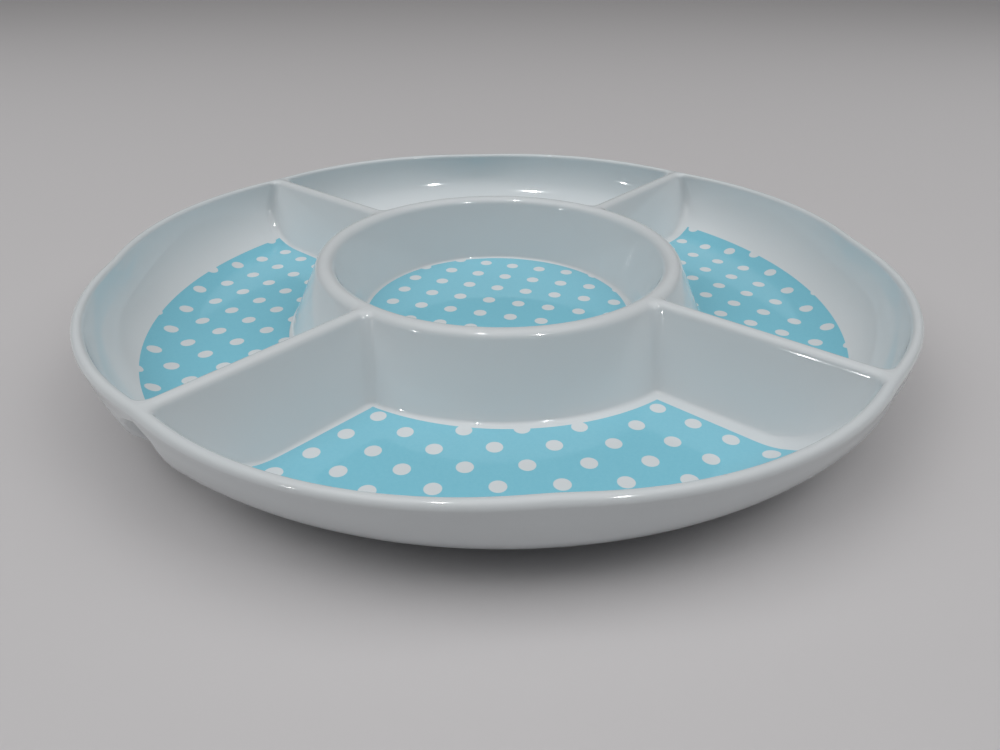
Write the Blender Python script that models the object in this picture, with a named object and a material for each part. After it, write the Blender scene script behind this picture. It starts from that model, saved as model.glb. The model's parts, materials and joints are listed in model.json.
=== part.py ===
# A divided serving plate: one moulded melamine shell, with four lobed compartments round a
# central bowl, and a printed decal foil on the floor of each of the five.

import math
from collections import namedtuple

import bmesh
import bpy

# Driving dimensions, in metres. Depths are measured down from the crest line, the one level
# that the tops of the rim, the dividers and the central ring all share.
rim_radius = 0.1505             # centre to the crest of the rim, at the full part of a scallop
ring_radius = 0.0684            # centre to the crest of the round wall of the bowl
well_depth = 0.0264             # crest to the floor of each compartment
shell_thickness = 0.0035
corner_radius = 0.004           # plan radius where two walls of a compartment meet

rim_top = 0.0019                # half the width of each rounded top
divider_top = 0.0033
ring_top = 0.004
rim_cove = 0.027                # the curve that takes each wall down into the floor
divider_fillet = 0.002
ring_outer_fillet = 0.002
ring_inner_fillet = 0.0015
rim_lean = math.radians(8)      # how far each wall leans from upright
divider_lean = math.radians(24.4)
ring_outer_lean = math.radians(25.6)
ring_inner_lean = math.radians(20.1)

scallop_dip = 0.0034            # how far the rim comes in where two scallops meet
scallop_fade_depth = 0.013      # below this depth the wall is plain and round
scallop_fade_width = 0.012      # the dip dies out over this width of the plan
scallop_fade_start = 0.012      # and begins to, this far in from the crest of the rim
scallops_per_lobe = 2
softness_share = 0.1            # rounds the point of the dip, as a share of half a scallop

foot_height = 0.0024
foot_width = 0.003
foot_slope = 0.0006             # how much each side of the foot spreads towards the shell
foot_setback = 0.003            # flat underside outside each foot

foil_thickness = 0.0003
foil_seat = 0.0003              # clearance under a foil, and the least clearance round it
foil_margin = 0.0005            # flat floor left bare round each foil
foil_rise = 0.0038              # how far a foil follows the cove up towards the rim

lobe_names = ("front", "right", "back", "left")
first_lobe_turn = math.radians(-90)

# How finely the curves are divided, and where the points of each outline lie.
sharp_angle = math.radians(35)
weld_share = 0.001              # of the shell's thickness
corner_limit_share = 0.33       # the widest corner, as a share of the width of its lobe
ring_steps = 10
corner_steps = 3
foil_steps = 12
rim_point_shares = (0, 0.05, 0.12, 0.22, 0.35, 0.5, 0.65, 0.78, 0.88, 0.95, 1)
lip_level_shares = (0, 0.12, 0.4, 0.8)
wall_level_shares = (0.2, 0.45, 0.68, 0.84, 0.92, 0.97, 1)
under_level_shares = (0.06, 0.3, 0.55, 0.78, 0.92, 1)
lip_turn_shares = (0.4, 0.75, 1)
foil_level_shares = (0, 0.1, 0.3, 0.6, 1)

Wall = namedtuple("Wall", "top lean fillet")
rim = Wall(rim_top, rim_lean, rim_cove)
divider = Wall(divider_top, divider_lean, divider_fillet)
ring_outer = Wall(ring_top, ring_outer_lean, ring_outer_fillet)
ring_inner = Wall(ring_top, ring_inner_lean, ring_inner_fillet)

under_depth = well_depth + shell_thickness
foot_depth = under_depth + foot_height
outer_lip_depth = 2 * rim_top   # the rolled edge of the rim is as deep as it is wide
half_lobe = math.pi / len(lobe_names)


# The section of a wall

def lip_end(wall):
    # inset and depth where the rounded top meets the straight face
    return wall.top * math.cos(wall.lean), wall.top * (1 - math.sin(wall.lean))


def cove_centre(wall):
    # inset, depth and radius of the curve at the foot of the wall, which has to fit the wall
    lip_inset, lip_depth = lip_end(wall)
    radius = min(wall.fillet, (well_depth - lip_depth) / (1 - math.sin(wall.lean)))
    start_depth = well_depth - radius * (1 - math.sin(wall.lean))
    start_inset = lip_inset + (start_depth - lip_depth) * math.tan(wall.lean)
    return start_inset + radius * math.cos(wall.lean), well_depth - radius, radius


def face_inset(wall, depth, thickness=0):
    # crest line to the face at a depth: the food side, or the underside at a thickness behind it
    lip_inset, lip_depth = lip_end(wall)
    if depth < lip_depth and not thickness:
        return math.sqrt(wall.top ** 2 - (wall.top - depth) ** 2)
    centre_inset, centre_depth, radius = cove_centre(wall)
    radius += thickness
    drop = depth - centre_depth
    if drop > radius * math.sin(wall.lean):
        return centre_inset - math.sqrt(max(radius ** 2 - drop ** 2, 0))
    return lip_inset + (depth - lip_depth) * math.tan(wall.lean) - thickness / math.cos(wall.lean)


def groove_depth():
    # where the two undersides of a wall between compartments run together
    depths = []
    for wall in (divider, ring_outer, ring_inner):
        lip_inset, lip_depth = lip_end(wall)
        behind = shell_thickness / math.cos(wall.lean) - lip_inset
        depths.append(lip_depth + behind / math.tan(wall.lean))
    return max(*depths, outer_lip_depth)


# Outlines in plan, each in the frame of its lobe, whose middle lies along +X

def polar(radius, angle):
    return radius * math.cos(angle), radius * math.sin(angle)


def corner_arc(inset, corner, reach):
    # rounds a divider into a round wall: reach is the radius that the arc's centre lies on
    along = math.sqrt(reach ** 2 - (inset + corner) ** 2)
    centre_angle = half_lobe - math.atan2(inset + corner, along)
    centre = polar(reach, centre_angle)
    return centre, centre_angle


def lobe_outline(ring_inset, divider_inset, rim_inset, corner):
    inner, outer = ring_radius + ring_inset, rim_radius - rim_inset
    corner = min(corner, (outer - inner) * corner_limit_share)
    ring_centre, ring_angle = corner_arc(divider_inset, corner, inner + corner)
    rim_centre, rim_angle = corner_arc(divider_inset, corner, outer - corner)
    to_divider = half_lobe + math.pi / 2
    side = [polar(inner, ring_angle * 2 * step / ring_steps) for step in range(ring_steps // 2)]
    for centre, start, end in ((ring_centre, ring_angle + math.pi, to_divider),
                               (rim_centre, to_divider, rim_angle)):
        for step in range(corner_steps + 1):
            angle = start + (end - start) * step / corner_steps
            x, y = polar(corner, angle)
            side.append((centre[0] + x, centre[1] + y))
    side += [polar(outer, rim_angle * (1 - share)) for share in rim_point_shares[1:]]
    return side + [(x, -y) for x, y in reversed(side[1:-1])]


def ring_outline(inset):
    count = ring_steps * len(lobe_names)
    return [polar(ring_radius - inset, 2 * math.pi * step / count) for step in range(count)]


def scallop(x, y, depth):
    # the rim dips in at each divider and at the middle of each lobe
    radius, angle = math.hypot(x, y), math.atan2(y, x)
    half_scallop = half_lobe / scallops_per_lobe
    off = math.remainder(angle - half_lobe, 2 * half_scallop) / half_scallop
    dip = scallop_dip * max(0, 1 - math.hypot(off, softness_share)) ** 2
    fade = max(0, 1 - depth / scallop_fade_depth)
    near = (radius - rim_radius + scallop_fade_start + scallop_fade_width) / scallop_fade_width
    pull = dip * fade * min(max(near, 0), 1)
    return x - pull * math.cos(angle), y - pull * math.sin(angle)


# Meshes

def place(mesh, outline, depth, turn=0):
    loop = []
    for x, y in outline:
        x, y = scallop(x, y, depth)
        across = x * math.cos(turn) - y * math.sin(turn)
        along = x * math.sin(turn) + y * math.cos(turn)
        loop.append(mesh.verts.new((across, along, foot_depth - depth)))
    return loop


def skin(mesh, loops, cap=True):
    for first, second in zip(loops, loops[1:]):
        for index in range(len(first)):
            back = index - 1
            mesh.faces.new((first[back], first[index], second[index], second[back]))
    if cap:
        mesh.faces.new(loops[-1])


def finish(mesh, name, material):
    bmesh.ops.remove_doubles(mesh, verts=mesh.verts, dist=shell_thickness * weld_share)
    bmesh.ops.recalc_face_normals(mesh, faces=mesh.faces)
    data = bpy.data.meshes.new(name)
    mesh.to_mesh(data)
    mesh.free()
    data.shade_smooth()
    data.set_sharp_from_angle(angle=sharp_angle)
    data.materials.append(material)
    piece = bpy.data.objects.new(name, data)
    bpy.context.scene.collection.objects.link(piece)
    return piece


def surface(name, colour, roughness):
    material = bpy.data.materials.new(name)
    material.use_nodes = True
    shader = material.node_tree.nodes["Principled BSDF"]
    shader.inputs["Base Color"].default_value = (*colour, 1)
    shader.inputs["Roughness"].default_value = roughness
    shader.inputs["Metallic"].default_value = 0
    return material


# The shell

def food_depths():
    lip = divider_top * lip_level_shares[-1]
    depths = [divider_top * share for share in lip_level_shares]
    return depths + [lip + (well_depth - lip) * share for share in wall_level_shares]


def lobe_food_side(mesh, turn):
    loops = []
    for depth in food_depths():
        insets = [face_inset(wall, depth) for wall in (ring_outer, divider, rim)]
        loops.append(place(mesh, lobe_outline(*insets, corner_radius if depth else 0), depth, turn))
    skin(mesh, loops)


def bowl_food_side(mesh):
    depths = food_depths()
    skin(mesh, [place(mesh, ring_outline(face_inset(ring_inner, depth)), depth) for depth in depths])


def foot_steps():
    # extra inset and depth of each edge of a foot, from its outer side to its inner one
    inner = foot_setback + foot_slope + foot_width
    return ((foot_setback, under_depth), (foot_setback + foot_slope, foot_depth),
            (inner, foot_depth), (inner + foot_slope, under_depth))


def under_depths():
    top = groove_depth()
    return [top + (under_depth - top) * share for share in under_level_shares]


def lobe_underside(mesh, turn):
    walls = (ring_outer, divider, rim)
    top = groove_depth()
    corner = corner_radius + shell_thickness
    loops = [place(mesh, lobe_outline(0, 0, face_inset(rim, top, shell_thickness), 0), top, turn)]
    for depth in under_depths():
        insets = [face_inset(wall, depth, shell_thickness) for wall in walls]
        loops.append(place(mesh, lobe_outline(*insets, corner), depth, turn))
    for extra, depth in foot_steps():
        outline = lobe_outline(*[inset + extra for inset in insets], corner)
        loops.append(place(mesh, outline, depth, turn))
    skin(mesh, loops)


def bowl_underside(mesh):
    loops = [place(mesh, ring_outline(0), groove_depth())]
    for depth in under_depths():
        inset = face_inset(ring_inner, depth, shell_thickness)
        loops.append(place(mesh, ring_outline(inset), depth))
    loops += [place(mesh, ring_outline(inset + extra), depth) for extra, depth in foot_steps()]
    skin(mesh, loops)


def rim_outside(mesh):
    # the outer half of the rolled rim, down to where the undersides of the lobes begin
    steps = [(0, 0)]
    for share in lip_turn_shares:
        turn = (math.pi / 2 + rim_lean) * share
        steps.append((rim_top * math.sin(turn), rim_top * (1 - math.cos(turn))))
    steps.append((-face_inset(rim, groove_depth(), shell_thickness), groove_depth()))
    shares = [-share for share in rim_point_shares[::-1]] + list(rim_point_shares[1:-1])
    angles = [lobe * 2 * half_lobe + half_lobe * share for lobe in range(len(lobe_names))
              for share in shares]
    loops = [place(mesh, [polar(rim_radius + out, angle) for angle in angles], depth)
             for out, depth in steps]
    skin(mesh, loops, cap=False)


def plate_body(material):
    mesh = bmesh.new()
    for number in range(len(lobe_names)):
        turn = first_lobe_turn + 2 * half_lobe * number
        lobe_food_side(mesh, turn)
        lobe_underside(mesh, turn)
    bowl_food_side(mesh)
    bowl_underside(mesh)
    rim_outside(mesh)
    return finish(mesh, "plate_body", material)


# The decal foils

def floor_depth(radius, above):
    # depth of a surface laid at a distance above the floor of a lobe and its cove
    centre_inset, centre_depth, cove = cove_centre(rim)
    run = max(radius - (rim_radius - centre_inset), 0)
    return centre_depth + math.sqrt((cove - above) ** 2 - run ** 2)


def lobe_foil(name, turn, material):
    inner = ring_radius + face_inset(ring_outer, well_depth) + foil_margin
    side = face_inset(divider, well_depth) + foil_margin
    levels = [well_depth - foil_rise * share for share in foil_level_shares]
    radii = [inner] + [rim_radius - face_inset(rim, depth) for depth in levels]
    mesh = bmesh.new()
    layers = []
    for above in (foil_seat, foil_seat + foil_thickness):
        rows = []
        for radius in radii:
            reach = half_lobe - math.asin(side / radius)
            points = [polar(radius, reach * (2 * step / foil_steps - 1)) for step in range(foil_steps + 1)]
            rows.append(place(mesh, points, floor_depth(radius, above), turn))
        layers.append(rows)
    for rows in layers:
        for first, second in zip(rows, rows[1:]):
            for step in range(foil_steps):
                mesh.faces.new((first[step], first[step + 1], second[step + 1], second[step]))
    edges = [rows[0] + [row[-1] for row in rows[1:-1]] + rows[-1][::-1] +
             [row[0] for row in rows[-2:0:-1]] for rows in layers]
    skin(mesh, edges, cap=False)
    return finish(mesh, name, material)


def centre_foil(material):
    inset = face_inset(ring_inner, well_depth) + foil_margin
    mesh = bmesh.new()
    loops = [place(mesh, ring_outline(inset), well_depth - above)
             for above in (foil_seat, foil_seat + foil_thickness)]
    skin(mesh, loops)
    mesh.faces.new(loops[0])
    return finish(mesh, "centre_decal", material)


for leftover in list(bpy.data.objects):
    bpy.data.objects.remove(leftover)

melamine = surface("white_melamine", (0.78, 0.82, 0.83), 0.15)
printed_foil = surface("blue_printed_foil", (0.21, 0.58, 0.77), 0.2)

pieces = [plate_body(melamine), centre_foil(printed_foil)]
for number, lobe_name in enumerate(lobe_names):
    turn = first_lobe_turn + 2 * half_lobe * number
    pieces.append(lobe_foil(lobe_name + "_decal", turn, printed_foil))

plate = bpy.data.objects.new("divided_plate", None)
bpy.context.scene.collection.objects.link(plate)
for piece in pieces:
    piece.parent = plate
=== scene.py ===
import json
import math

import bmesh
import bpy
from mathutils import Matrix, Vector
from mathutils.bvhtree import BVHTree

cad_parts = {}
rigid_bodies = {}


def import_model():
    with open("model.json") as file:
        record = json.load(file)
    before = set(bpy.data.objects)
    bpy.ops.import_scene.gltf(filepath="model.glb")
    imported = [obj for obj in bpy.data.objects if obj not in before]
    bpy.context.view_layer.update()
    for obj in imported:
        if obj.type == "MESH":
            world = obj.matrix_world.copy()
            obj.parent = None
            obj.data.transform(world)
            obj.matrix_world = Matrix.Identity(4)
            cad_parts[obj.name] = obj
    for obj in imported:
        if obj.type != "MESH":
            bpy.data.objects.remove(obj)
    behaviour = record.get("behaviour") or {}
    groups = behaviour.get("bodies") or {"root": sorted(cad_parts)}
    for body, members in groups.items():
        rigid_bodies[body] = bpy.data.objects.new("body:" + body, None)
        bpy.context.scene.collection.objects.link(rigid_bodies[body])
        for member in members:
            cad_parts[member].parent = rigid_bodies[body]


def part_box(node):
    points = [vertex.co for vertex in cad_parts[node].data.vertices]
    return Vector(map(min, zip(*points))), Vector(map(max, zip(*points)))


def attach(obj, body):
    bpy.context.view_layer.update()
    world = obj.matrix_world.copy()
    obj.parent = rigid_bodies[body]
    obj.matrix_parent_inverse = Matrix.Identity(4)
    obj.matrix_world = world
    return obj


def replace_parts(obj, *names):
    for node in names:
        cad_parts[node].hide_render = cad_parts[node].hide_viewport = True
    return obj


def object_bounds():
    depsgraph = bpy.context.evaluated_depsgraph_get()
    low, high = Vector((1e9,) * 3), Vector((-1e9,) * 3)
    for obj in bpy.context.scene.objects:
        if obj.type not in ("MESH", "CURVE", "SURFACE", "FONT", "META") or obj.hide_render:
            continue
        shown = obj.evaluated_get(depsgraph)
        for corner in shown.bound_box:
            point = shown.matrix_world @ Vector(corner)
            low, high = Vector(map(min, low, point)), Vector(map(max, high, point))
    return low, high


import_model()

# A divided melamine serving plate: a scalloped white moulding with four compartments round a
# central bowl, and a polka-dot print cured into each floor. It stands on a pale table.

mm = 0.001
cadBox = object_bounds()
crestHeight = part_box("plate_body")[1].z     # every wall tops out at this height


# Materials

def paint(hexText):
    # sRGB hex to the linear colour that a shader reads
    shades = [int(hexText[i:i + 2], 16) / 255 for i in (1, 3, 5)]
    return [s / 12.92 if s <= 0.04045 else ((s + 0.055) / 1.055) ** 2.4 for s in shades] + [1]


def addNode(tree, kind, settings=None, links=None):
    # settings: the node's own properties, or a socket's value; links: socket to another's output
    node = tree.nodes.new(kind)
    for key, value in (settings or {}).items():
        if isinstance(key, str) and hasattr(node, key):
            setattr(node, key, value)
        else:
            node.inputs[key].default_value = value
    for key, output in (links or {}).items():
        tree.links.new(output, node.inputs[key])
    return node


def newMaterial(name, **sockets):
    material = bpy.data.materials.new(name)
    material.use_nodes = True
    shader = material.node_tree.nodes["Principled BSDF"]
    for socket, value in sockets.items():
        shader.inputs[socket.replace("_", " ")].default_value = value
    return material, material.node_tree, shader


def blend(tree, share, first, second):
    # a colour between two, by a share that another node gives
    mix = addNode(tree, "ShaderNodeMix", {"data_type": "RGBA"}, {"Factor": share})
    for socket, colour in (("A_Color", first), ("B_Color", second)):
        target = next(s for s in mix.inputs if s.identifier == socket)
        if isinstance(colour, bpy.types.NodeSocket):
            tree.links.new(colour, target)
        else:
            target.default_value = colour
    return next(s for s in mix.outputs if s.identifier == "Result_Color")


melamineLook = {
    "white": "#dfe4e6", "cloud": "#dae0e3",
    "cloudSize": 38,            # mm across a faint cloud in the moulding powder
    "peelSize": 7,              # mm between the slow waves of a pressed and buffed face
    "peelHeight": 0.012,        # mm
    "smudgeSize": 30,           # mm across a smudge from handling
    "smudgeLevels": (0.35, 0.65),       # of the noise: clean at the first, smudged at the second
    "roughness": (0.05, 0.10),          # where clean, and where smudged
    "footHeight": 0.25,         # mm: the feet are rubbed dull up to here
    "footRoughness": 0.45,
    "ior": 1.55,
}


def pressedSurface(tree, look):
    # what the pressed melamine and the glazed print share: slow waves, and handling smudges
    where = addNode(tree, "ShaderNodeTexCoord").outputs["Object"]
    waves = addNode(tree, "ShaderNodeTexNoise", {"Scale": 1 / (look["peelSize"] * mm), "Detail": 1},
                    {"Vector": where})
    bump = addNode(tree, "ShaderNodeBump", {"Distance": look["peelHeight"] * mm},
                   {"Height": waves.outputs["Fac"]})
    smudges = addNode(tree, "ShaderNodeTexNoise", {"Scale": 1 / (look["smudgeSize"] * mm), "Detail": 4},
                      {"Vector": where})
    rough = addNode(tree, "ShaderNodeMapRange", {
        "From Min": look["smudgeLevels"][0], "From Max": look["smudgeLevels"][1],
        "To Min": look["roughness"][0], "To Max": look["roughness"][1]}, {"Value": smudges.outputs["Fac"]})
    return where, bump.outputs["Normal"], rough.outputs["Result"]


def whiteOf(tree, look, where):
    clouds = addNode(tree, "ShaderNodeTexNoise", {"Scale": 1 / (look["cloudSize"] * mm), "Detail": 2},
                     {"Vector": where})
    return blend(tree, clouds.outputs["Fac"], paint(look["white"]), paint(look["cloud"]))


def makeMelamine(look):
    # Compression-moulded melamine resin: hard, dense and white, with a pressed high gloss that
    # gives small sharp highlights on slightly wavy faces. The feet are rubbed dull by shelves.
    material, tree, shader = newMaterial("pressedWhiteMelamine", IOR=look["ior"])
    where, normal, pressed = pressedSurface(tree, look)
    height = addNode(tree, "ShaderNodeSeparateXYZ", links={"Vector": where}).outputs["Z"]
    rubbed = addNode(tree, "ShaderNodeMapRange", {
        "From Min": 0, "From Max": look["footHeight"] * mm,
        "To Min": look["footRoughness"], "To Max": 0}, {"Value": height})
    rough = addNode(tree, "ShaderNodeMath", {"operation": "MAXIMUM"},
                    {0: pressed, 1: rubbed.outputs["Result"]})
    tree.links.new(whiteOf(tree, look, where), shader.inputs["Base Color"])
    tree.links.new(rough.outputs["Value"], shader.inputs["Roughness"])
    tree.links.new(normal, shader.inputs["Normal"])
    return material


printLook = {
    "ink": "#80c8dc", "inkThin": "#8ccfe1",
    "grainSize": 0.9,           # mm: screen-print grain, drawn coarser than the real 0.2 to show
    "dotSize": 5.3,             # mm across a bare dot
    "dotPitch": 12.94,          # mm between dots along a row
    "edgeBlur": 0.25,           # mm
}


def makePrint(look, melamine):
    # Blue ink printed on foil and cured under the clear resin: flat colour with a fine grain,
    # bare round dots that show the white melamine, and the same gloss as the plate round it.
    material, tree, shader = newMaterial("bluePrintUnderGlaze", IOR=melamine["ior"])
    where, normal, pressed = pressedSurface(tree, melamine)
    rows = addNode(tree, "ShaderNodeUVMap", {"uv_map": "dotRows"}).outputs["UV"]
    cell = addNode(tree, "ShaderNodeVectorMath", {"operation": "FRACTION"}, {0: rows})
    fromDot = addNode(tree, "ShaderNodeVectorMath", {"operation": "DISTANCE", 1: (0.5, 0.5, 0)},
                      {0: cell.outputs["Vector"]})
    edge, blur = look["dotSize"] / look["dotPitch"] / 2, look["edgeBlur"] / look["dotPitch"] / 2
    inked = addNode(tree, "ShaderNodeMapRange", {
        "interpolation_type": "SMOOTHSTEP", "From Min": edge - blur, "From Max": edge + blur},
        {"Value": fromDot.outputs["Value"]})
    grain = addNode(tree, "ShaderNodeTexNoise", {"Scale": 1 / (look["grainSize"] * mm), "Detail": 3},
                    {"Vector": where})
    ink = blend(tree, grain.outputs["Fac"], paint(look["ink"]), paint(look["inkThin"]))
    colour = blend(tree, inked.outputs["Result"], whiteOf(tree, melamine, where), ink)
    tree.links.new(colour, shader.inputs["Base Color"])
    tree.links.new(pressed, shader.inputs["Roughness"])
    tree.links.new(normal, shader.inputs["Normal"])
    return material


# The moulding, in millimetres. Depths are measured down from the crest line that the rim, the
# dividers and the central ring share, and insets from that line into a compartment.

plateShape = {
    "rimRadius": 150.5, "ringRadius": 68.4, "wellDepth": 26.4, "thickness": 3.5,
    "corner": 4.0,              # plan radius where two walls of a compartment meet
    "lobes": 4,
    "rim": {"top": 1.9, "lean": 8, "foot": 27},         # half width of the top, lean, cove radius
    "divider": {"top": 3.3, "lean": 24.4, "foot": 2},
    "ringOuter": {"top": 4.0, "lean": 25.6, "foot": 2},
    "ringInner": {"top": 4.0, "lean": 20.1, "foot": 1.5},
    "scallopDip": 3.4, "scallopFadeDepth": 13, "scallopFadeWidth": 12, "scallopFadeStart": 12,
    "scallopsPerLobe": 2, "scallopSoftness": 0.1,
    "footHeight": 2.4, "footWidth": 3.0, "footSetback": 3.6, "footRound": 0.8,
}
plateFineness = {       # steps along each curve
    "ring": 16, "corner": 8, "divider": 8, "rim": 34, "lip": 8, "cove": 12, "foot": 11, "under": 16,
    "footLoopBend": 4,
    "coveTurns": (82, 26),      # degrees that are left to the floor, from first to last level
    "footTurn": 62,             # the same at the first level of the tighter curves
    "floorEdge": 0.5,           # mm: a narrow row of faces keeps each floor's shading flat
}

halfLobe = math.pi / plateShape["lobes"]
underDepth = plateShape["wellDepth"] + plateShape["thickness"]


def lipEnd(wall):
    lean = math.radians(wall["lean"])
    return wall["top"] * math.cos(lean), wall["top"] * (1 - math.sin(lean))


def faceInset(name, depth, thickness=0):
    # crest line to a wall's face at a depth: the food side, or the underside a thickness behind it
    wall, lean = plateShape[name], math.radians(plateShape[name]["lean"])
    lipInset, lipDepth = lipEnd(wall)
    if depth < lipDepth and not thickness:
        return math.sqrt(wall["top"] ** 2 - (wall["top"] - depth) ** 2)
    startDepth = plateShape["wellDepth"] - wall["foot"] * (1 - math.sin(lean))
    centreInset = lipInset + (startDepth - lipDepth) * math.tan(lean) + wall["foot"] * math.cos(lean)
    radius, drop = wall["foot"] + thickness, depth - plateShape["wellDepth"] + wall["foot"]
    if drop > radius * math.sin(lean):
        return centreInset - math.sqrt(max(radius ** 2 - drop ** 2, 0))
    return lipInset + (depth - lipDepth) * math.tan(lean) - thickness / math.cos(lean)


def grooveDepth():
    # under the dividers and the ring, the undersides of the two sides run together at this depth
    depths = [2 * plateShape["rim"]["top"]]
    for name in ("divider", "ringOuter", "ringInner"):
        lean = math.radians(plateShape[name]["lean"])
        lipInset, lipDepth = lipEnd(plateShape[name])
        depths.append(lipDepth + (plateShape["thickness"] / math.cos(lean) - lipInset) / math.tan(lean))
    return max(depths)


def polar(radius, angle):
    return radius * math.cos(angle), radius * math.sin(angle)


def easeShares(count):
    # 0 to 1, closer together at both ends, where the scallops turn
    return [math.sin(math.pi / 2 * step / count) ** 2 for step in range(count + 1)]


def lobeOutline(ringInset, dividerInset, rimInset, corner):
    # round a compartment: ring, corner, divider, corner, rim, then back the same way mirrored
    inner, outer = plateShape["ringRadius"] + ringInset, plateShape["rimRadius"] - rimInset
    offset, toDivider = dividerInset + corner, halfLobe + math.pi / 2
    corners = []
    for reach, name in ((inner + corner, "ring"), (outer - corner, "rim")):
        turn = halfLobe - math.atan2(offset, math.sqrt(reach ** 2 - offset ** 2))
        spread = (turn + math.pi, toDivider) if name == "ring" else (toDivider, turn)
        centre = polar(reach, turn)
        arc = [polar(corner, spread[0] + (spread[1] - spread[0]) * step / plateFineness["corner"])
               for step in range(plateFineness["corner"] + 1)]
        corners.append((turn, [(centre[0] + x, centre[1] + y) for x, y in arc]))
    (ringTurn, ringCorner), (rimTurn, rimCorner) = corners
    side = [polar(inner, ringTurn * step / plateFineness["ring"]) for step in range(plateFineness["ring"])]
    side += ringCorner
    start, end, steps = Vector(ringCorner[-1]), Vector(rimCorner[0]), plateFineness["divider"]
    side += [tuple(start.lerp(end, step / steps)) for step in range(1, steps)]
    side += rimCorner
    side += [polar(outer, rimTurn * (1 - share)) for share in easeShares(plateFineness["rim"])[1:]]
    return side + [(x, -y) for x, y in reversed(side[1:-1])]


def scalloped(x, y, depth):
    # the rim comes in at each divider and at the middle of each lobe, and lower down is round
    radius, angle = math.hypot(x, y), math.atan2(y, x)
    halfScallop = halfLobe / plateShape["scallopsPerLobe"]
    off = math.remainder(angle - halfLobe, 2 * halfScallop) / halfScallop
    dip = plateShape["scallopDip"] * max(0, 1 - math.hypot(off, plateShape["scallopSoftness"])) ** 2
    fade = max(0, 1 - depth / plateShape["scallopFadeDepth"])
    past = radius - plateShape["rimRadius"] + plateShape["scallopFadeStart"]
    near = min(max(past / plateShape["scallopFadeWidth"] + 1, 0), 1)
    pull = dip * fade * near
    return x - pull * math.cos(angle), y - pull * math.sin(angle)


def placed(outline, depth):
    level = Vector((0, 0, crestHeight - depth * mm))
    return [Vector((*scalloped(x, y, depth), 0)) * mm + level for x, y in outline]


def loft(bm, loops, cap=True):
    # one loop of edges, extruded again and again, and moved to each outline in turn
    station = bm.verts.layers.int.get("station") or bm.verts.layers.int.new("station")
    verts = bmesh.ops.create_circle(bm, segments=len(loops[0]), radius=1)["verts"]
    for index, vert in enumerate(sorted(verts, key=lambda vert: math.atan2(vert.co.y, vert.co.x))):
        vert[station] = index
        vert.co = loops[0][index]
    edges = list(dict.fromkeys(edge for vert in verts for edge in vert.link_edges))
    for loop in loops[1:]:
        grown = bmesh.ops.extrude_edge_only(bm, edges=edges)["geom"]
        edges = [part for part in grown if isinstance(part, bmesh.types.BMEdge)]
        for vert in (part for part in grown if isinstance(part, bmesh.types.BMVert)):
            vert.co = loop[vert[station]]
    if cap:
        floor = bmesh.ops.contextual_create(bm, geom=edges)["faces"]
        bmesh.ops.inset_region(bm, faces=floor, thickness=plateFineness["floorEdge"] * mm,
                               use_even_offset=True)


def foodDepths():
    # the rounded tops, then the cove of the rim, then the tighter curves at the foot of the rest
    well, fine = plateShape["wellDepth"], plateFineness
    lip = max(lipEnd(plateShape[name])[1] for name in ("rim", "divider", "ringOuter", "ringInner"))
    depths = [lip * (1 - math.cos(math.pi / 2 * step / fine["lip"])) for step in range(fine["lip"] + 1)]
    for name, first, last, steps in (("rim", *fine["coveTurns"], fine["cove"]),
                                     ("divider", fine["footTurn"], 0, fine["foot"])):
        turns = [math.radians(first - (first - last) * step / steps) for step in range(steps + 1)]
        depths += [well - plateShape[name]["foot"] * (1 - math.cos(turn)) for turn in turns]
    return depths


def underDepths():
    top, count = grooveDepth(), plateFineness["under"]
    return [top + (underDepth - top) * math.sin(math.pi / 2 * step / count) for step in range(1, count + 1)]


def footSection():
    # the foot's section: extra inset and depth from its outer side to its inner one
    shape, steps = plateShape, plateFineness["footLoopBend"]
    bend, width, bottom = shape["footRound"], shape["footWidth"], underDepth + shape["footHeight"]
    turns = [math.pi / 2 * step / steps for step in range(steps + 1)]
    outer = [(bend * math.sin(turn), underDepth + bend * (1 - math.cos(turn))) for turn in turns]
    tip = [(bend + bend * (1 - math.cos(turn)), bottom - bend * (1 - math.sin(turn))) for turn in turns]
    half = outer + tip
    far = 2 * bend + width
    both = half + [(far - inset, depth) for inset, depth in reversed(half)]
    return [(shape["footSetback"] - bend + inset, depth) for inset, depth in both]


def lobeLoops():
    # the outlines of a compartment's food side and of its underside, level by level
    walls, food = ("ringOuter", "divider", "rim"), []
    for depth in foodDepths():
        insets = [faceInset(name, depth) for name in walls]
        food.append(placed(lobeOutline(*insets, plateShape["corner"] if depth else 0), depth))
    top, thick = grooveDepth(), plateShape["thickness"]
    corner = plateShape["corner"] + thick
    under = [placed(lobeOutline(0, 0, faceInset("rim", top, thick), 0), top)]
    for depth in underDepths():
        insets = [faceInset(name, depth, thick) for name in walls]
        under.append(placed(lobeOutline(*insets, corner), depth))
    for extra, depth in footSection():      # measured on from the last of those insets
        under.append(placed(lobeOutline(*[inset + extra for inset in insets], corner), depth))
    return food, under


def turned(bm, section):
    # spins a section, from the crest of the ring to the middle of the bowl, into a round wall
    verts = [bm.verts.new((radius * mm, 0, crestHeight - depth * mm)) for radius, depth in section]
    edges = [bm.edges.new(pair) for pair in zip(verts, verts[1:])]
    steps = 2 * plateFineness["ring"] * plateShape["lobes"]
    bmesh.ops.spin(bm, geom=verts + edges, cent=(0, 0, 0), axis=(0, 0, 1),
                   angle=2 * math.pi, steps=steps, use_merge=True)


def bowlSections():
    ring, thick = plateShape["ringRadius"], plateShape["thickness"]
    food = [(ring - faceInset("ringInner", depth), depth) for depth in foodDepths()]
    food.append((0, plateShape["wellDepth"]))
    insets = [faceInset("ringInner", depth, thick) for depth in underDepths()]
    under = [(ring, grooveDepth())] + [(ring - inset, depth) for inset, depth in zip(insets, underDepths())]
    under += [(ring - insets[-1] - extra, depth) for extra, depth in footSection()] + [(0, underDepth)]
    return food, under


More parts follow.
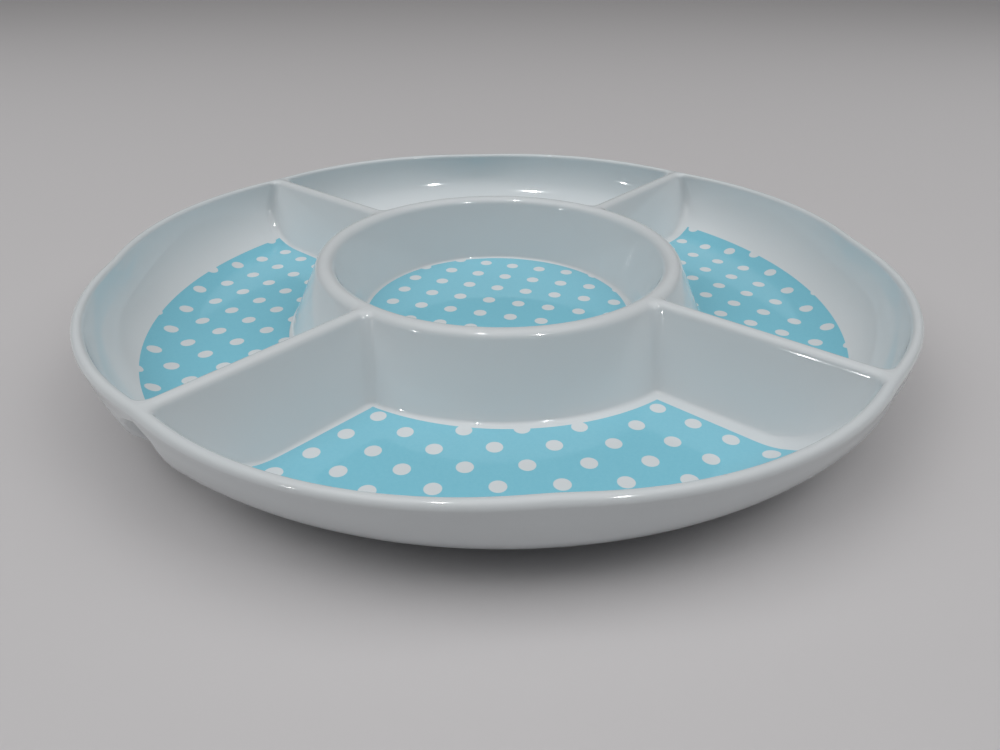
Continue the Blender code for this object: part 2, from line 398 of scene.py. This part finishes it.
def rimBand():
    # the outer half of the rolled rim, from the crest down to where the lobes' undersides begin
    top, steps = plateShape["rim"]["top"], plateFineness["lip"]
    lean = math.radians(plateShape["rim"]["lean"])
    turns = [(math.pi / 2 + lean) * step / steps for step in range(steps + 1)]
    section = [(top * math.sin(turn), top * (1 - math.cos(turn))) for turn in turns]
    section.append((-faceInset("rim", grooveDepth(), plateShape["thickness"]), grooveDepth()))
    shares = easeShares(plateFineness["rim"])
    shares = [-share for share in shares[::-1]] + shares[1:-1]
    angles = [halfLobe * (2 * lobe + share) for lobe in range(plateShape["lobes"]) for share in shares]
    rings = [(plateShape["rimRadius"] + out, depth) for out, depth in section]
    return [placed([polar(radius, angle) for angle in angles], depth) for radius, depth in rings]


def finishPiece(bm, name, material, sharpAngle=35, weld=0.002):     # degrees, millimetres
    bmesh.ops.remove_doubles(bm, verts=bm.verts, dist=weld * mm)
    bmesh.ops.recalc_face_normals(bm, faces=bm.faces)
    mesh = bpy.data.meshes.new(name)
    bm.to_mesh(mesh)
    bm.free()
    mesh.shade_smooth()
    mesh.set_sharp_from_angle(angle=math.radians(sharpAngle))
    mesh.materials.append(material)
    piece = bpy.data.objects.new(name, mesh)
    bpy.context.scene.collection.objects.link(piece)
    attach(piece, "root")
    return piece


def makeBody(material):
    bm = bmesh.new()
    for loops in lobeLoops():
        loft(bm, loops)
    quarters = plateShape["lobes"]
    bmesh.ops.spin(bm, geom=bm.verts[:] + bm.edges[:] + bm.faces[:], cent=(0, 0, 0), axis=(0, 0, 1),
                   angle=2 * halfLobe * (quarters - 1), steps=quarters - 1, use_duplicate=True)
    for section in bowlSections():
        turned(bm, section)
    loft(bm, rimBand(), cap=False)
    fit = cadBox[1].x / max(vert.co.x for vert in bm.verts)     # a hair under 1
    bmesh.ops.scale(bm, vec=(fit, fit, 1), verts=bm.verts)
    body = finishPiece(bm, "plateBody", material)
    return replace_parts(body, "plate_body")


# The printed decals, in millimetres: where each foil lay when the plate was pressed

decalShape = {
    "inner": 84.0, "outer": 135.3,      # plan radii of a compartment's print
    "side": 15.5,                       # from the middle of a divider to the print
    "centreRadius": 54.3,
    "proud": 0.05, "thickness": 0.15,
    "steps": (72, 40),                  # along and across a compartment's print
    "discSteps": (96, 14),              # round the print of the bowl, and out from its middle
    "weld": 0.001,
}
decalPlaces = {         # which way the lobe faces, shift and turn of its foil, rows and their origin
    "front": {"faces": -90, "shift": (2.0, -2.2), "turn": -1.8, "rows": -46.61, "origin": (-9.42, -94.94)},
    "right": {"faces": 0, "shift": (-0.6, 0.2), "turn": -1.05, "rows": -45.05, "origin": (109.73, 6.64)},
    "back": {"faces": 90, "shift": (0.6, -2.6), "turn": -1.2, "rows": 44.2, "origin": (4.1, 108.3)},
    "left": {"faces": 180, "shift": (-0.2, -4.1), "turn": -1.55, "rows": 43.16, "origin": (-110.38, 6.49)},
    "centre": {"shift": (-0.35, 0.9), "rows": -20.83, "origin": (-3.39, 8.56)},
}


def sectorGrid(bm, place):
    along, across = decalShape["steps"]
    bmesh.ops.create_grid(bm, x_segments=along, y_segments=across, size=1)
    facing = math.radians(place["faces"] + place["turn"])
    for vert in bm.verts:
        radius = decalShape["inner"] + (decalShape["outer"] - decalShape["inner"]) * (vert.co.y + 1) / 2
        reach = halfLobe - math.asin(decalShape["side"] / radius)
        vert.co = (*polar(radius, facing - reach * vert.co.x), 0)


def discGrid(bm):
    steps, rings = decalShape["discSteps"]
    verts = [bm.verts.new((decalShape["centreRadius"] * ring / rings, 0, 0)) for ring in range(rings + 1)]
    edges = [bm.edges.new(pair) for pair in zip(verts, verts[1:])]
    bmesh.ops.spin(bm, geom=verts + edges, cent=(0, 0, 0), axis=(0, 0, 1),
                   angle=2 * math.pi, steps=steps, use_merge=True)
    bmesh.ops.remove_doubles(bm, verts=bm.verts, dist=decalShape["weld"])


def unrolled(x, y):
    # the foil was flat before it was pressed in, so its rows keep their pitch up the cove
    radius, cove = math.hypot(x, y), plateShape["rim"]["foot"]
    past = radius - plateShape["rimRadius"] + faceInset("rim", plateShape["wellDepth"])
    if past > 0:
        radius += cove * math.asin(past / cove) - past
    return Vector(polar(radius, math.atan2(y, x)))


def makeDecal(name, place, floorTree, material):
    bm = bmesh.new()
    if "faces" in place:
        sectorGrid(bm, place)
    else:
        discGrid(bm)
    bmesh.ops.translate(bm, verts=bm.verts, vec=(*place["shift"], 0))
    rows = bm.loops.layers.uv.new("dotRows")
    turn = Matrix.Rotation(-math.radians(place["rows"]), 2)
    for face in bm.faces:
        for loop in face.loops:
            offset = turn @ (unrolled(*loop.vert.co.xy) - Vector(place["origin"]))
            loop[rows].uv = offset / printLook["dotPitch"] + Vector((0.5, 0.5))
    for vert in bm.verts:
        plan = Vector((vert.co.x * mm, vert.co.y * mm, crestHeight))
        spot, normal, _, _ = floorTree.ray_cast(plan, Vector((0, 0, -1)))
        vert.co = spot + normal * decalShape["proud"] * mm
    thick = bmesh.ops.extrude_face_region(bm, geom=bm.faces[:])["geom"]
    lower = [part for part in thick if isinstance(part, bmesh.types.BMVert)]
    bmesh.ops.translate(bm, verts=lower, vec=(0, 0, -decalShape["thickness"] * mm))
    decal = finishPiece(bm, name + "Decal", material)
    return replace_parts(decal, name + "_decal")


# Table, light and camera

stageLook = {
    "floor": "#cdcbcc", "floorRoughness": 0.6,
    "floorSize": 12.0,          # metres
    "room": "#f4f3f3", "wallLevel": 0.09, "ceilingLevel": 1.15,
    "ceilingStart": 0.72,       # sine of the elevation at which the room begins to brighten
    "backdropLevel": 0.36,      # what a camera sees behind the table; it lights nothing
}
lamps = {       # place and size in metres, power in watts; soft ones shade, small ones only glint
    "softLeft": {"at": (-1.08, -0.19, 1.3), "size": 1.2, "power": 10, "glints": False},
    "softRight": {"at": (1.08, -0.19, 1.3), "size": 1.2, "power": 8.6, "glints": False},
    "ceilingLampNear": {"at": (0.44, -0.79, 1.44), "size": 0.05, "power": 4, "glints": True},
    "ceilingLampOver": {"at": (-0.21, -0.25, 1.67), "size": 0.05, "power": 4, "glints": True},
    "lowLampLeft": {"at": (-2.21, -1.52, 1.36), "size": 0.08, "power": 4, "glints": True},
}
cameraView = {
    "fromCrest": (-23.6, -266.4, 104.6),    # mm, from the middle of the plate at crest height
    "tilt": 31.46, "turn": -5.23, "roll": 0.42,     # degrees
    "lens": 25.5, "sensor": 36, "clipStart": 10,    # mm
}


def makeStage():
    look = stageLook
    bpy.ops.mesh.primitive_plane_add(size=look["floorSize"])
    floor = bpy.context.object
    floor.name = "tableTop"
    material, tree, shader = newMaterial("paleLaminateTable", Roughness=look["floorRoughness"])
    shader.inputs["Base Color"].default_value = paint(look["floor"])
    floor.data.materials.append(material)
    world = bpy.data.worlds.new("softRoom")
    world.use_nodes = True
    tree = world.node_tree
    background = tree.nodes["Background"]
    background.inputs["Color"].default_value = paint(look["room"])
    facing = addNode(tree, "ShaderNodeTexCoord").outputs["Generated"]
    up = addNode(tree, "ShaderNodeSeparateXYZ", links={"Vector": facing})
    level = addNode(tree, "ShaderNodeMapRange", {
        "interpolation_type": "SMOOTHERSTEP", "From Min": look["ceilingStart"],
        "To Min": look["wallLevel"], "To Max": look["ceilingLevel"]}, {"Value": up.outputs["Z"]})
    seen = addNode(tree, "ShaderNodeLightPath").outputs["Is Camera Ray"]
    strength = addNode(tree, "ShaderNodeMix", {"B": look["backdropLevel"]},
                       {"Factor": seen, "A": level.outputs["Result"]})
    tree.links.new(strength.outputs["Result"], background.inputs["Strength"])
    bpy.context.scene.world = world


def makeLamps():
    for name, lamp in lamps.items():
        light = bpy.data.lights.new(name, "AREA")
        light.size = lamp["size"]
        light.energy = lamp["power"]
        holder = bpy.data.objects.new(name, light)
        holder.location = lamp["at"]
        holder.visible_glossy, holder.visible_diffuse = lamp["glints"], not lamp["glints"]
        holder.rotation_mode = "QUATERNION"
        holder.rotation_quaternion = (-Vector(lamp["at"])).to_track_quat("-Z", "Y")
        bpy.context.scene.collection.objects.link(holder)


def makeCamera():
    view = cameraView
    camera = bpy.data.cameras.new("photoView")
    camera.lens, camera.sensor_width = view["lens"], view["sensor"]
    camera.clip_start = view["clipStart"] * mm
    holder = bpy.data.objects.new("photoView", camera)
    x, y, z = view["fromCrest"]
    place = Matrix.Translation((x * mm, y * mm, z * mm + crestHeight))
    place = place @ Matrix.Rotation(math.radians(view["turn"]), 4, "Z")
    place = place @ Matrix.Rotation(math.radians(90 - view["tilt"]), 4, "X")
    holder.matrix_world = place @ Matrix.Rotation(math.radians(view["roll"]), 4, "Z")
    bpy.context.scene.collection.objects.link(holder)
    bpy.context.scene.camera = holder


makeStage()
makeLamps()
makeCamera()
bpy.context.scene.view_settings.view_transform = "Standard"
print("stage, lamps and camera are set")

melamine = makeMelamine(melamineLook)
bluePrint = makePrint(printLook, melamineLook)
body = makeBody(melamine)
print("plate body:", len(body.data.polygons), "faces")

floorTree = BVHTree.FromObject(body, bpy.context.evaluated_depsgraph_get())
for name, place in decalPlaces.items():
    decal = makeDecal(name, place, floorTree, bluePrint)
    print(name, "decal:", len(decal.data.polygons), "faces")
